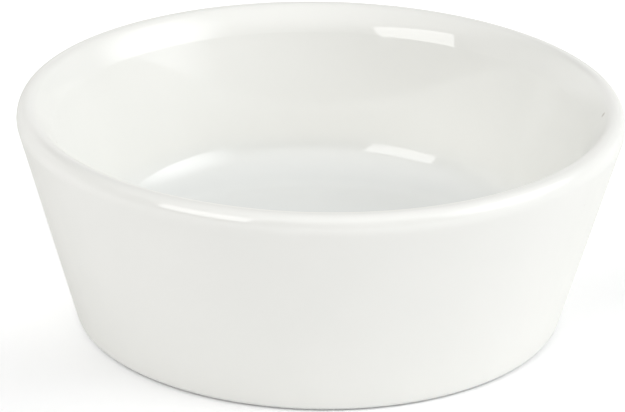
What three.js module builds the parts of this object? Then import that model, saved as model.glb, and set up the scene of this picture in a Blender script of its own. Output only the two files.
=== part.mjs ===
// A small round serving bowl of glazed white porcelain. The straight wall flares up to a round lip with a
// broad roll on its inner side, and a cove joins the wall to a flat floor. The bowl stands on a bare ring
// that is ground flat, round a shallow recess that is glazed too.
// Millimetres, +Z up, with the origin at the middle of the circle that the bowl stands on.
import * as THREE from 'three';

// Outer form
const RIM_RADIUS = 40;
const HEIGHT = 29.8;
const OUTER_LEAN = 15.6;
const CORNER_RADIUS = 1.8;

// Lip and inside. Leans and slopes are in degrees; a slope is how far the face looks up from level.
const BRIM_RADIUS = 2.6;
const BRIM_TOP_SLOPE = 30;
const CROWN_RADIUS = 1.4;
const ROLL_RADIUS = 13;
const ROLL_TOP_SLOPE = 37;
const ROLL_FOOT_SLOPE = 22;
const EDGE_RADIUS = 1.5;
const INNER_LEAN = 15.8;
const COVE_RADIUS = 7.1;
const FLOOR_HEIGHT = 6.6;

// Foot ring and the recess inside it
const FOOT_STEP = 0.1;
const FOOT_WIDTH = 2.6;
const FOOT_BEVEL = 0.25;
const RECESS_HEIGHT = 1.7;
const RECESS_LEAN = 25;
const RECESS_FILLET = 1;

// Glaze, and where it was wiped away from the foot before firing
const GLAZE_THICKNESS = 0.3;
const GLAZE_END_SLOPE = -72;
const RECESS_GLAZE_STOP = 0.7;

// Facets
const TURN_STEPS = 60;
const ARC_STEPS = { corner: 3, foot: 2, underbrim: 1, brim: 2, crown: 3, roll: 3, edge: 1, cove: 7, fillet: 3 };

const GLAZE_COLOUR = 0xf4f4ef;
const CLAY_COLOUR = 0xe9e5da;

// A direction in the half plane of the profile, from the outward level direction towards +Z.
function heading(degrees) {
  const angle = THREE.MathUtils.degToRad(degrees);
  return new THREE.Vector2(Math.cos(angle), Math.sin(angle));
}

// A point moved along a direction by a distance.
function shifted(point, direction, distance) {
  return point.clone().addScaledVector(direction, distance);
}

// Points of an arc, each with the direction its face looks to: away from the centre, or to it in a hollow.
function arc(centre, radius, from, to, steps, hollow = false) {
  return Array.from({ length: steps + 1 }, (_, step) => {
    const spoke = heading(from + ((to - from) * step) / steps);
    const normal = hollow ? spoke.clone().negate() : spoke;
    return { point: shifted(centre, spoke, radius), normal };
  });
}

// The same face under the glaze.
function clayOf(face) {
  return face.map(({ point, normal }) => shifted(point, normal, -GLAZE_THICKNESS));
}

function pointsOf(face) {
  return face.map(({ point }) => point);
}

// The tangent of an angle in degrees, for how far a leaning line moves sideways over a height.
function slant(degrees) {
  return Math.tan(THREE.MathUtils.degToRad(degrees));
}

// Lip: a round brim outside, a tighter crown on top, the broad roll inside, then a soft edge to the inner wall.
const crownShift = heading(BRIM_TOP_SLOPE).multiplyScalar(BRIM_RADIUS - CROWN_RADIUS);
const brimCentre = new THREE.Vector2(RIM_RADIUS - BRIM_RADIUS, HEIGHT - CROWN_RADIUS - crownShift.y);
const crownCentre = brimCentre.clone().add(crownShift);
const rollTop = 180 - ROLL_TOP_SLOPE;
const rollFoot = 180 - ROLL_FOOT_SLOPE;
const innerWall = 180 - INNER_LEAN;
const rollCentre = shifted(crownCentre, heading(rollTop), CROWN_RADIUS - ROLL_RADIUS);
const edgeCentre = shifted(rollCentre, heading(rollFoot), ROLL_RADIUS - EDGE_RADIUS);
const innerWallTop = shifted(edgeCentre, heading(innerWall), EDGE_RADIUS);

// Cove: touches the inner wall and the floor.
const coveHeight = FLOOR_HEIGHT + COVE_RADIUS;
const coveTouch = shifted(new THREE.Vector2(0, coveHeight), heading(innerWall), -COVE_RADIUS);
const wallReach = (innerWallTop.y - coveTouch.y) * slant(INNER_LEAN);
const coveCentre = new THREE.Vector2(innerWallTop.x - wallReach - coveTouch.x, coveHeight);

// Outer corner: touches the outer wall and, at its lowest, hangs clear of the table by the foot's step.
const outerWallTop = shifted(brimCentre, heading(-OUTER_LEAN), BRIM_RADIUS);
const cornerHeight = FOOT_STEP + CORNER_RADIUS;
const cornerTouch = shifted(new THREE.Vector2(0, cornerHeight), heading(-OUTER_LEAN), CORNER_RADIUS);
const outerReach = (outerWallTop.y - cornerTouch.y) * slant(OUTER_LEAN);
const cornerCentre = new THREE.Vector2(outerWallTop.x - outerReach - cornerTouch.x, cornerHeight);

// Recess: its fillet touches the ceiling and the leaning inner side of the foot ring.
const footOuter = cornerCentre.x;
const footInner = footOuter - FOOT_WIDTH;
const filletHeight = RECESS_HEIGHT - RECESS_FILLET;
const clayFillet = RECESS_FILLET + GLAZE_THICKNESS;
const clayTouch = shifted(new THREE.Vector2(0, filletHeight), heading(RECESS_LEAN), clayFillet);
const filletRadius = footInner - clayTouch.x - clayTouch.y * slant(RECESS_LEAN);
const filletCentre = new THREE.Vector2(filletRadius, filletHeight);

// The glazed face from the wiped line at the foot up the outside, over the lip and down to the floor's middle.
const coatFace = [
  ...arc(cornerCentre, CORNER_RADIUS, GLAZE_END_SLOPE, -OUTER_LEAN, ARC_STEPS.corner),
  ...arc(brimCentre, BRIM_RADIUS, -OUTER_LEAN, 0, ARC_STEPS.underbrim),
  ...arc(brimCentre, BRIM_RADIUS, 0, BRIM_TOP_SLOPE, ARC_STEPS.brim).slice(1),
  ...arc(crownCentre, CROWN_RADIUS, BRIM_TOP_SLOPE, 90, ARC_STEPS.crown).slice(1),
  ...arc(crownCentre, CROWN_RADIUS, 90, rollTop, ARC_STEPS.crown).slice(1),
  ...arc(rollCentre, ROLL_RADIUS, rollTop, rollFoot, ARC_STEPS.roll).slice(1),
  ...arc(edgeCentre, EDGE_RADIUS, rollFoot, innerWall, ARC_STEPS.edge).slice(1),
  ...arc(coveCentre, COVE_RADIUS, -INNER_LEAN, -90, ARC_STEPS.cove, true),
  { point: new THREE.Vector2(0, FLOOR_HEIGHT), normal: heading(90) },
];

// The glazed face of the recess, from its middle to the line where the foot's inner side was wiped.
const recessFillet = arc(filletCentre, RECESS_FILLET, 90, RECESS_LEAN, ARC_STEPS.fillet, true);
const recessSide = recessFillet.at(-1);
const sideDrop = recessSide.point.y - RECESS_GLAZE_STOP;
const recessFace = [
  { point: new THREE.Vector2(0, RECESS_HEIGHT), normal: heading(-90) },
  ...recessFillet,
  {
    point: new THREE.Vector2(recessSide.point.x + sideDrop * slant(RECESS_LEAN), RECESS_GLAZE_STOP),
    normal: recessSide.normal,
  },
];

// The bare ring between the two wiped lines: inner bevel, ground face, outer bevel, side and corner.
const footRing = [
  new THREE.Vector2(footInner - FOOT_BEVEL * slant(RECESS_LEAN), FOOT_BEVEL),
  new THREE.Vector2(footInner + FOOT_BEVEL, 0),
  new THREE.Vector2(footOuter - FOOT_BEVEL, 0),
  new THREE.Vector2(footOuter, FOOT_BEVEL),
  ...pointsOf(arc(cornerCentre, CORNER_RADIUS - GLAZE_THICKNESS, -90, GLAZE_END_SLOPE, ARC_STEPS.foot)).slice(0, -1),
];

// A solid turned about the bowl's axis from its closed half profile.
function turned(name, profile, material) {
  const geometry = new THREE.LatheGeometry(profile, TURN_STEPS);
  geometry.rotateX(Math.PI / 2);
  const mesh = new THREE.Mesh(geometry, material);
  mesh.name = name;
  return mesh;
}

function glaze() {
  return new THREE.MeshStandardMaterial({ color: GLAZE_COLOUR, roughness: 0.08, metalness: 0 });
}

function bareClay() {
  return new THREE.MeshStandardMaterial({ color: CLAY_COLOUR, roughness: 0.7, metalness: 0 });
}

// Pressed and fired body: the clay under both glazes, and the bare foot between them.
const porcelainBody = turned('porcelain_body', [...clayOf(recessFace), ...footRing, ...clayOf(coatFace)], bareClay());

// Glass skin over the inside, the lip and the outside.
const glazeCoat = turned('glaze_coat', [...clayOf(coatFace).reverse(), ...pointsOf(coatFace)], glaze());

// Glass skin in the recess under the floor, cut off from the coat by the bare ring.
const undersideGlaze = turned(
  'underside_glaze',
  [...pointsOf(recessFace), ...clayOf(recessFace).reverse()],
  glaze(),
);

const bowl = new THREE.Group();
bowl.add(porcelainBody, glazeCoat, undersideGlaze);

export default bowl;
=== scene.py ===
import math

import bpy
from mathutils import Matrix, Vector, noise


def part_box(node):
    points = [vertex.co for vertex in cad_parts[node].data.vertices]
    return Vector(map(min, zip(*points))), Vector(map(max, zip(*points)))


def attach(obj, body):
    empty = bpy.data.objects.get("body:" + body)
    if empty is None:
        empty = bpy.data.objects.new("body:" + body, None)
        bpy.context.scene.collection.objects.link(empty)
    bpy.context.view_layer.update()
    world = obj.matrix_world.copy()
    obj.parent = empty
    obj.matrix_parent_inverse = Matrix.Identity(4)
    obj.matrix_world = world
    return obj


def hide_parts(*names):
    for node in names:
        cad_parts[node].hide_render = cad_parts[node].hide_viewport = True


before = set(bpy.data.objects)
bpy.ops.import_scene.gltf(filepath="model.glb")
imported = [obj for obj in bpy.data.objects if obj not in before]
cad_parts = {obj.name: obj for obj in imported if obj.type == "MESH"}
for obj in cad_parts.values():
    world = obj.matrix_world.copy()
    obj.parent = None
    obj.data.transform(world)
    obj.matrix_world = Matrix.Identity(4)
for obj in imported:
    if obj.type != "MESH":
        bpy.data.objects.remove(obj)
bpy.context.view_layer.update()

# Porcelain body
# One piece of white clay, shaped on a wheel against a mould and fired: wall, lip, floor and foot ring in one.
# Glaze hides all of it but the foot ring, which was wiped clean before firing and then ground flat.
MM = 0.001
coat_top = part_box("glaze_coat")[1]
clay_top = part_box("porcelain_body")[1]
recess_low, recess_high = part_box("underside_glaze")

RIM_RADIUS = coat_top.x
HEIGHT = coat_top.z
GLAZE_THICKNESS = coat_top.z - clay_top.z
OUTER_LEAN = 15.6
CORNER_RADIUS = 1 * MM
BRIM_RADIUS = 2.6 * MM
BRIM_TOP_SLOPE = 30
CROWN_RADIUS = 1.4 * MM
ROLL_RADIUS = 13 * MM
ROLL_TOP_SLOPE = 37
ROLL_FOOT_SLOPE = 22
EDGE_RADIUS = 1.5 * MM
INNER_LEAN = 15.8
COVE_RADIUS = 7.1 * MM
FLOOR_HEIGHT = 6.6 * MM
FOOT_STEP = 0.1 * MM
FOOT_OUTER = 31 * MM
FOOT_WIDTH = 2.6 * MM
FOOT_BEVEL = 0.25 * MM
RECESS_HEIGHT = recess_high.z - GLAZE_THICKNESS
RECESS_LEAN = 25
RECESS_FILLET = 1 * MM
WIPED_SLOPE = -72
RECESS_WIPED_HEIGHT = recess_low.z
TURN_STEPS = 240
BEND_STEP = 5
CORNER_STEPS = 9
ROLL_STEPS = 12
EDGE_STEPS = 5
ROW_STEP = 0.7 * MM
TOUCHING = 0.01 * MM


def spoke(slope):
    """A direction in the half plane of the profile, from level outward towards straight up."""
    angle = math.radians(slope)
    return Vector((math.cos(angle), math.sin(angle)))


def slant(lean):
    """How far a leaning line moves sideways for each unit of height."""
    return math.tan(math.radians(lean))


def bend(centre, radius, start, end, hollow=False, steps=None):
    """Points of a round stretch with the way each one faces; a hollow faces its own centre."""
    steps = steps or math.ceil(abs(end - start) / BEND_STEP)
    row = []
    for step in range(steps + 1):
        way = spoke(start + (end - start) * step / steps)
        row.append((centre + way * radius, -way if hollow else way))
    return row


def joined(*stretches):
    """Stretches of one face, with the straight ways between them filled in."""
    face = list(stretches[0])
    for stretch in stretches[1:]:
        last, facing = face[-1]
        gap = stretch[0][0] - last
        steps = math.ceil(gap.length / ROW_STEP)
        face += [(last + gap * step / steps, facing) for step in range(1, steps)]
        face += stretch if gap.length > TOUCHING else stretch[1:]
    return face


# Lip: a round brim outside, a tighter crown on top, a broad roll inside, then a soft edge to the inner wall.
crown_shift = spoke(BRIM_TOP_SLOPE) * (BRIM_RADIUS - CROWN_RADIUS)
brim_centre = Vector((RIM_RADIUS - BRIM_RADIUS, HEIGHT - CROWN_RADIUS - crown_shift.y))
crown_centre = brim_centre + crown_shift
roll_top = 180 - ROLL_TOP_SLOPE
roll_foot = 180 - ROLL_FOOT_SLOPE
inner_wall = 180 - INNER_LEAN
roll_centre = crown_centre + spoke(roll_top) * (CROWN_RADIUS - ROLL_RADIUS)
edge_centre = roll_centre + spoke(roll_foot) * (ROLL_RADIUS - EDGE_RADIUS)
inner_wall_top = edge_centre + spoke(inner_wall) * EDGE_RADIUS

# Cove: touches the inner wall and the floor.
cove_height = FLOOR_HEIGHT + COVE_RADIUS
cove_touch = Vector((0, cove_height)) - spoke(inner_wall) * COVE_RADIUS
wall_reach = (inner_wall_top.y - cove_touch.y) * slant(INNER_LEAN)
cove_centre = Vector((inner_wall_top.x - wall_reach - cove_touch.x, cove_height))

# Outer corner: touches the outer wall and hangs clear of the table by the foot's step.
outer_wall_top = brim_centre + spoke(-OUTER_LEAN) * BRIM_RADIUS
corner_height = FOOT_STEP + CORNER_RADIUS
corner_touch = Vector((0, corner_height)) + spoke(-OUTER_LEAN) * CORNER_RADIUS
outer_reach = (outer_wall_top.y - corner_touch.y) * slant(OUTER_LEAN)
corner_centre = Vector((outer_wall_top.x - outer_reach - corner_touch.x, corner_height))

# Recess: its fillet touches the ceiling and the leaning inner side of the foot ring.
foot_inner = FOOT_OUTER - FOOT_WIDTH
fillet_height = RECESS_HEIGHT - RECESS_FILLET
clay_touch = Vector((0, fillet_height)) + spoke(RECESS_LEAN) * (RECESS_FILLET + GLAZE_THICKNESS)
fillet_centre = Vector((foot_inner - clay_touch.x - clay_touch.y * slant(RECESS_LEAN), fillet_height))


def coat_face(wiped_slope):
    """The glazed face from the wiped line at the foot, up the outside, over the lip and down to the middle."""
    return joined(
        bend(corner_centre, CORNER_RADIUS, wiped_slope, -OUTER_LEAN, steps=CORNER_STEPS),
        bend(brim_centre, BRIM_RADIUS, -OUTER_LEAN, 0),
        bend(brim_centre, BRIM_RADIUS, 0, BRIM_TOP_SLOPE),
        bend(crown_centre, CROWN_RADIUS, BRIM_TOP_SLOPE, 90),
        bend(crown_centre, CROWN_RADIUS, 90, roll_top),
        bend(roll_centre, ROLL_RADIUS, roll_top, roll_foot, steps=ROLL_STEPS),
        bend(edge_centre, EDGE_RADIUS, roll_foot, inner_wall, steps=EDGE_STEPS),
        bend(cove_centre, COVE_RADIUS, -INNER_LEAN, -90, hollow=True),
        [(Vector((0, FLOOR_HEIGHT)), spoke(90))],
    )


def recess_face(wiped_height):
    """The glazed face of the recess, from its middle out to the wiped line on the foot's inner side."""
    fillet = bend(fillet_centre, RECESS_FILLET, 90, RECESS_LEAN, hollow=True)
    side, facing = fillet[-1]
    wiped = Vector((side.x + (side.y - wiped_height) * slant(RECESS_LEAN), wiped_height))
    return joined([(Vector((0, RECESS_HEIGHT)), spoke(-90))], fillet, [(wiped, facing)])


def under(face):
    """The clay's own face below a glazed one."""
    return [point - facing * GLAZE_THICKNESS for point, facing in face]


def turned(name, profile_at):
    """A piece turned about the upright axis from a closed half profile, which may differ a little all round."""
    corners = []
    rings = []
    for step in range(TURN_STEPS):
        turn = math.tau * step / TURN_STEPS
        ring = []
        for row, point in enumerate(profile_at(turn)):
            if step > 0 and point.x < TOUCHING:
                ring.append(rings[0][row])
                continue
            ring.append(len(corners))
            corners.append((point.x * math.cos(turn), point.x * math.sin(turn), point.y))
        rings.append(ring)
    faces = []
    for here, there in zip(rings, rings[1:] + rings[:1]):
        for row in range(len(here)):
            ahead = (row + 1) % len(here)
            face = dict.fromkeys((here[row], there[row], there[ahead], here[ahead]))
            if len(face) > 2:
                faces.append(list(face))
    mesh = bpy.data.meshes.new(name)
    mesh.from_pydata(corners, [], faces)
    mesh.shade_smooth()
    piece = bpy.data.objects.new(name, mesh)
    bpy.context.scene.collection.objects.link(piece)
    return piece


def body_profile(turn):
    """The clay under both glazes and the bare ring between them, the same all round."""
    inner_edge = Vector((foot_inner + FOOT_BEVEL, FOOT_BEVEL))
    outer_edge = Vector((FOOT_OUTER - FOOT_BEVEL, FOOT_BEVEL))
    ring = joined(
        bend(inner_edge, FOOT_BEVEL, 180, 270),
        bend(outer_edge, FOOT_BEVEL, 270, 360),
        bend(corner_centre, CORNER_RADIUS - GLAZE_THICKNESS, -90, WIPED_SLOPE),
    )
    bare = [point for point, facing in ring[:-1]]
    return under(recess_face(RECESS_WIPED_HEIGHT)) + bare + under(coat_face(WIPED_SLOPE))


def finish(name):
    """A new material: itself, its nodes, its surface shader and the point on the piece that it colours."""
    material = bpy.data.materials.new(name)
    material.use_nodes = True
    tree = material.node_tree
    point = tree.nodes.new("ShaderNodeTexCoord").outputs["Object"]
    return material, tree, tree.nodes["Principled BSDF"], point


def put(tree, kind, inputs, output=0, **settings):
    """A node of a kind, whose inputs are plain values or other nodes' outputs; gives one of its own outputs."""
    made = tree.nodes.new("ShaderNode" + kind)
    for name, value in settings.items():
        setattr(made, name, value)
    for place, value in inputs.items():
        if isinstance(value, bpy.types.NodeSocket):
            tree.links.new(value, made.inputs[place])
        else:
            made.inputs[place].default_value = value
    return made.outputs[output]


def ramp(tree, value, low, high, start=0.0, end=1.0):
    """A value that runs smoothly from start to end as another one goes from low to high."""
    inputs = {"Value": value, "From Min": low, "From Max": high, "To Min": start, "To Max": end}
    return put(tree, "MapRange", inputs, interpolation_type="SMOOTHSTEP")


def blended(tree, share, first, second):
    """A colour between two others."""
    return put(tree, "Mix", {0: share, 6: first, 7: second}, output=2, data_type="RGBA")


def from_axis(tree, point):
    """How far the point lies from the bowl's upright axis."""
    level = put(tree, "VectorMath", {0: point, 1: (1, 1, 0)}, operation="MULTIPLY")
    return put(tree, "VectorMath", {0: level}, output="Value", operation="LENGTH")


def height_of(tree, point):
    """How far the point lies above the table."""
    return put(tree, "SeparateXYZ", {0: point}, output="Z")


CLAY = (0.80, 0.775, 0.72, 1)
CLAY_SHADE = (0.71, 0.68, 0.62, 1)
GROUND_CLAY = (0.64, 0.62, 0.58, 1)
GROUND_FULLY = 0.02 * MM
GROUND_UP_TO = 0.12 * MM
GRAIN_PER_METRE = 4200
GRAIN_DEPTH = 0.03 * MM
CLOUDS_PER_METRE = 140
SCRATCHES_PER_METRE = 9000


def bare_porcelain():
    """Unglazed clay: a fine matt grain with cloudy tone, and rings left by grinding on the face it stands on."""
    material, tree, shader, point = finish("bare_porcelain")
    grain = put(tree, "TexNoise", {"Vector": point, "Scale": GRAIN_PER_METRE, "Detail": 4})
    clouds = put(tree, "TexNoise", {"Vector": point, "Scale": CLOUDS_PER_METRE, "Detail": 2})
    radius = from_axis(tree, point)
    rings = put(tree, "TexNoise", {"W": radius, "Scale": SCRATCHES_PER_METRE, "Detail": 2}, noise_dimensions="1D")
    ground = ramp(tree, height_of(tree, point), GROUND_FULLY, GROUND_UP_TO, 1, 0)
    worn = put(tree, "Math", {0: ground, 1: ramp(tree, rings, 0.35, 0.65)}, operation="MULTIPLY")
    body = blended(tree, ramp(tree, clouds, 0.3, 0.7), CLAY, CLAY_SHADE)
    speckled = blended(tree, ramp(tree, grain, 0.5, 0.8, 0, 0.5), body, CLAY_SHADE)
    colour = blended(tree, worn, speckled, GROUND_CLAY)
    tree.links.new(colour, shader.inputs["Base Color"])
    tree.links.new(ramp(tree, grain, 0.3, 0.7, 0.6, 0.85), shader.inputs["Roughness"])
    relief = put(tree, "Math", {0: grain, 1: worn}, operation="SUBTRACT")
    bump = put(tree, "Bump", {"Strength": 0.5, "Distance": GRAIN_DEPTH, "Height": relief})
    tree.links.new(bump, shader.inputs["Normal"])
    shader.inputs["Specular IOR Level"].default_value = 0.35
    return material


porcelain_body = turned("fired_body", body_profile)
porcelain_body.data.materials.append(bare_porcelain())
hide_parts("porcelain_body")
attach(porcelain_body, "root")

# Glaze coat
# A skin of white glass, a third of a millimetre thick, melted onto the clay over the inside, lip and outside.
# The pot was dipped and its foot sponged clean, so the skin ends there in a soft bead, and it pooled in the cove,
# where a cooler, darker colour is laid; that darkening is partly painted shade.
WIPED_WANDER = 2.5
RIPPLE_DEPTH = 0.03 * MM
RIPPLE_LENGTH = 9 * MM
SWELL_DEPTH = 0.06 * MM
SWELL_LENGTH = 28 * MM


def wander(turn, waves):
    """How far the sponge strayed at this place on its way round the foot, from -1 to 1."""
    return noise.noise(Vector((math.cos(turn), math.sin(turn), 0)) * waves)


def settled(face, turn):
    """A glazed face as it froze: a few hundredths of a millimetre below its true form, here more and there less."""
    row = []
    for point, facing in face:
        place = Vector((point.x * math.cos(turn), point.x * math.sin(turn), point.y))
        ripple = RIPPLE_DEPTH * (1 + noise.noise(place / RIPPLE_LENGTH)) / 2
        swell = SWELL_DEPTH * (1 + noise.noise(place / SWELL_LENGTH)) / 2
        row.append(point - facing * (ripple + swell))
    return row


def coat_profile(turn):
    """The coat at this place on its way round: the bead at the foot, the glazed face and the clay side."""
    wiped_slope = WIPED_SLOPE + WIPED_WANDER * wander(turn, 6)
    face = coat_face(wiped_slope)
    middle = corner_centre + spoke(wiped_slope) * (CORNER_RADIUS - GLAZE_THICKNESS / 2)
    bead = bend(middle, GLAZE_THICKNESS / 2, wiped_slope - 180, wiped_slope)
    clay_side = under(face)
    return [point for point, facing in bead[1:-1]] + settled(face, turn) + clay_side[::-1]


GLAZE = (0.862, 0.86, 0.824, 1)
GLAZE_THIN = (0.876, 0.872, 0.836, 1)
# Pooled glaze: a cooler tone of thick glass, and darker as painted shade on the bowl's inner floor and cove.
GLAZE_POOLED_AND_SHADED = (0.8, 0.812, 0.798, 1)
TONE_PER_METRE = 45
FLECK = (0.30, 0.24, 0.18, 1)
FLECK_SHARE = 0.4
FLECKS_PER_METRE = 110
LIP_SPECK = Vector((36.98, -1.29, 28.74)) * MM
LIP_SPECK_CORE = 0.15 * MM
LIP_SPECK_REACH = 0.5 * MM
PEEL_PER_METRE = 900
PEEL_DEPTH = 0.01 * MM
GLASS_IOR = 1.56
GLOSS = 0.5
GLOSS_FADES_FROM = 0.45
GLOSS_FADE_POWER = 6


def glaze_finish(name, pooled_and_shaded_at):
    """White glass over white clay: bright gloss, a cooler, darker tone where it lies thick (on the inner floor and
    cove also painted shade), and a few iron flecks.
    """
    material, tree, shader, point = finish(name)
    tone = put(tree, "TexNoise", {"Vector": point, "Scale": TONE_PER_METRE, "Detail": 2})
    colour = blended(tree, ramp(tree, tone, 0.35, 0.65), GLAZE, GLAZE_THIN)
    # Pooled glaze tint, which also paints shade on the inner floor and cove.
    colour = blended(tree, pooled_and_shaded_at(tree, point), colour, GLAZE_POOLED_AND_SHADED)
    cells = tree.nodes.new("ShaderNodeTexVoronoi")
    cells.inputs["Scale"].default_value = FLECKS_PER_METRE
    tree.links.new(point, cells.inputs["Vector"])
    near = ramp(tree, cells.outputs["Distance"], 0.008, 0.02, 1, 0)
    chosen = ramp(tree, cells.outputs["Color"], 0.7, 0.75, 0, FLECK_SHARE)
    fleck = put(tree, "Math", {0: near, 1: chosen}, operation="MULTIPLY")
    away = put(tree, "VectorMath", {0: point, 1: LIP_SPECK}, output="Value", operation="DISTANCE")
    speck = ramp(tree, away, LIP_SPECK_CORE, LIP_SPECK_REACH, FLECK_SHARE, 0)
    fleck = put(tree, "Math", {0: fleck, 1: speck}, operation="MAXIMUM")
    colour = blended(tree, fleck, colour, FLECK)
    tree.links.new(colour, shader.inputs["Base Color"])
    tree.links.new(ramp(tree, tone, 0.3, 0.7, 0.02, 0.04), shader.inputs["Roughness"])
    peel = put(tree, "TexNoise", {"Vector": point, "Scale": PEEL_PER_METRE, "Detail": 1})
    bump = put(tree, "Bump", {"Strength": 0.1, "Distance": PEEL_DEPTH, "Height": peel})
    tree.links.new(bump, shader.inputs["Normal"])
    shader.inputs["IOR"].default_value = GLASS_IOR
    # Seen edge on, the glaze would mirror the white floor and lose its outline, so the gloss fades out there.
    edge_on = put(tree, "LayerWeight", {}, output="Facing")
    fading = ramp(tree, edge_on, GLOSS_FADES_FROM, 1, 1, 0)
    fading = put(tree, "Math", {0: fading, 1: GLOSS_FADE_POWER}, operation="POWER")
    gloss = put(tree, "Math", {0: fading, 1: GLOSS}, operation="MULTIPLY")
    tree.links.new(gloss, shader.inputs["Specular IOR Level"])
    return material


def pooled_and_shaded_in_cove(tree, point):
    """Glaze ran down the inner wall and gathered on the floor and in the cove; the darker colour laid there is also
    painted shade.
    """
    cove_reach = cove_centre.x + COVE_RADIUS
    low = ramp(tree, height_of(tree, point), FLOOR_HEIGHT, FLOOR_HEIGHT + COVE_RADIUS, 1, 0)
    within = ramp(tree, from_axis(tree, point), cove_reach, cove_reach + MM, 1, 0)
    return put(tree, "Math", {0: low, 1: within}, operation="MULTIPLY")


glaze_coat = turned("white_glaze_coat", coat_profile)
glaze_coat.data.materials.append(glaze_finish("white_glaze", pooled_and_shaded_in_cove))
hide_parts("glaze_coat")
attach(glaze_coat, "root")

# Underside glaze
# The same glass in the shallow recess under the floor, left inside the foot ring when the ring was sponged.
# It ends in a bead partway down the ring's inner side, clear of the surface that the bowl stands on.
RECESS_WANDER = 0.08 * MM


def recess_profile(turn):
    """The recess's glaze at this place on its way round: the glazed face, its bead and the clay side."""
    face = recess_face(RECESS_WIPED_HEIGHT + RECESS_WANDER * wander(turn, 5))
    wiped, facing = face[-1]
    middle = wiped - facing * GLAZE_THICKNESS / 2
    bead = bend(middle, GLAZE_THICKNESS / 2, RECESS_LEAN + 180, RECESS_LEAN + 360)
    clay_side = under(face)
    return settled(face, turn) + [point for point, facing in bead[1:-1]] + clay_side[::-1]


def pooled_in_recess(tree, point):
    """Glaze gathered in the fillet between the recess and the foot ring."""
    return ramp(tree, from_axis(tree, point), fillet_centre.x - RECESS_FILLET, fillet_centre.x + RECESS_FILLET)


underside_glaze = turned("recess_glaze", recess_profile)
underside_glaze.data.materials.append(glaze_finish("recess_glaze", pooled_in_recess))
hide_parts("underside_glaze")
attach(underside_glaze, "root")

# Floor
# A plain matt white sheet that the bowl stands on. It glows a little in the picture so that it reads as white,
# and less towards the front, where it keeps the soft shadow beside the foot.
FLOOR_REACH = 5.0
FLOOR_WHITE = (0.92, 0.92, 0.92, 1)
GLOW_FRONT = 0.108
GLOW_BACK = 0.34
GLOW_WAY = (-0.37, 0.93, 0)
GLOW_RISES_FROM = -12.2 * MM
GLOW_RISES_TO = 19.9 * MM

floor_corners = [(x * FLOOR_REACH, y * FLOOR_REACH, 0) for x, y in ((-1, -1), (1, -1), (1, 1), (-1, 1))]
floor_mesh = bpy.data.meshes.new("floor")
floor_mesh.from_pydata(floor_corners, [], [range(len(floor_corners))])
floor = bpy.data.objects.new("floor", floor_mesh)
bpy.context.scene.collection.objects.link(floor)

material, tree, shader, point = finish("floor")
shader.inputs["Base Color"].default_value = FLOOR_WHITE
shader.inputs["Roughness"].default_value = 1.0
shader.inputs["Specular IOR Level"].default_value = 0.0
shader.inputs["Emission Color"].default_value = (1, 1, 1, 1)
paths = tree.nodes.new("ShaderNodeLightPath").outputs
seen = put(tree, "Math", {0: paths["Is Camera Ray"], 1: paths["Is Glossy Ray"]}, operation="MAXIMUM")
seen = put(tree, "Math", {0: seen, 1: paths["Is Transmission Ray"]}, operation="MAXIMUM")
along = put(tree, "VectorMath", {0: point, 1: GLOW_WAY}, output="Value", operation="DOT_PRODUCT")
strength = ramp(tree, along, GLOW_RISES_FROM, GLOW_RISES_TO, GLOW_FRONT, GLOW_BACK)
glow = put(tree, "Math", {0: seen, 1: strength}, operation="MULTIPLY")
tree.links.new(glow, shader.inputs["Emission Strength"])
floor_mesh.materials.append(material)

# Lamps
# A crisp soft box at the front left and a large one at the right that fades towards its edges. The room round
# them is bright above the camera and dark below that, with a pale wall behind the bowl, brighter at the left.
LAMP_AWAY = 2.0
RIGHT_BOX_TINT = (0.96, 0.98, 1)
WALL_LEFT = 1.2
WALL_RIGHT = 0.8
ABOVE_WALL = 0.2
FRONT_LOW = 0.03
FRONT_TOP = 1.42


def soft_box(name, azimuth, elevation, width, height, brightness):
    """A rectangular lamp that faces the bowl from a direction, measured from the camera's side."""
    lamp = bpy.data.lights.new(name, "AREA")
    lamp.shape = "RECTANGLE"
    lamp.size = width
    lamp.size_y = height
    lamp.energy = brightness * math.pi * width * height
    holder = bpy.data.objects.new(name, lamp)
    side = math.radians(azimuth)
    rise = math.radians(elevation)
    way = Vector((math.sin(side) * math.cos(rise), -math.cos(side) * math.cos(rise), math.sin(rise)))
    holder.location = way * LAMP_AWAY + Vector((0, 0, HEIGHT / 2))
    holder.rotation_euler = way.to_track_quat("Z", "Y").to_euler()
    holder.visible_camera = False
    bpy.context.scene.collection.objects.link(holder)
    return lamp


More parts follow.
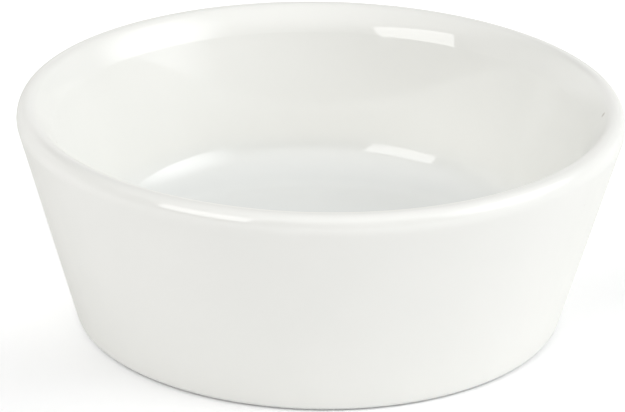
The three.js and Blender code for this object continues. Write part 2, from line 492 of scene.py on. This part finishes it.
def fade_out(lamp):
    """Makes a lamp brightest in its middle and dark at its edges."""
    lamp.use_nodes = True
    tree = lamp.node_tree
    place = tree.nodes.new("ShaderNodeNewGeometry").outputs["Parametric"]
    offset = put(tree, "VectorMath", {0: place, 1: (0.5, 0.5, 0)}, operation="SUBTRACT")
    from_middle = put(tree, "VectorMath", {0: offset}, output="Value", operation="LENGTH")
    fade = ramp(tree, from_middle, 0.05, 0.5, 1, 0)
    tree.links.new(fade, tree.nodes["Emission"].inputs["Strength"])


soft_box("left_box", azimuth=-42.8, elevation=23.3, width=1.19, height=0.8, brightness=3.4)
right_box = soft_box("right_box", azimuth=77, elevation=24, width=2.9, height=2.15, brightness=4.15)
right_box.color = RIGHT_BOX_TINT
fade_out(right_box)

world = bpy.data.worlds.new("room")
world.use_nodes = True
tree = world.node_tree
split = tree.nodes.new("ShaderNodeSeparateXYZ")
tree.links.new(tree.nodes.new("ShaderNodeTexCoord").outputs["Generated"], split.inputs[0])
wall = ramp(tree, split.outputs["X"], -0.5, 0.5, WALL_LEFT, WALL_RIGHT)
back = ramp(tree, split.outputs["Z"], 0.36, 0.56, wall, ABOVE_WALL)
front = ramp(tree, split.outputs["Z"], 0.4, 0.68, FRONT_LOW, FRONT_TOP)
room = ramp(tree, split.outputs["Y"], -0.95, 0.95, front, back)
tree.nodes["Background"].inputs["Color"].default_value = (1, 1, 1, 1)
tree.links.new(room, tree.nodes["Background"].inputs["Strength"])
bpy.context.scene.world = world

# Camera
# A long lens a little under half a metre away, looking down into the bowl and turned by a degree about its line
# of sight. Colours are shown as they are lit.
CAMERA_PLACE = Vector((0, -409.3, 186.8)) * MM
CAMERA_AIM = Vector((-0.92, 0, 14.5)) * MM
CAMERA_LENS = 192.2
CAMERA_SENSOR = 36
CAMERA_ROLL = 0.94

camera = bpy.data.cameras.new("camera")
camera.lens = CAMERA_LENS
camera.sensor_width = CAMERA_SENSOR
camera.sensor_fit = "HORIZONTAL"
holder = bpy.data.objects.new("camera", camera)
looking = (CAMERA_AIM - CAMERA_PLACE).to_track_quat("-Z", "Y").to_matrix().to_4x4()
rolled = Matrix.Rotation(math.radians(CAMERA_ROLL), 4, "Z")
holder.matrix_world = Matrix.Translation(CAMERA_PLACE) @ looking @ rolled
bpy.context.scene.collection.objects.link(holder)
bpy.context.scene.camera = holder
bpy.context.scene.view_settings.view_transform = "Standard"
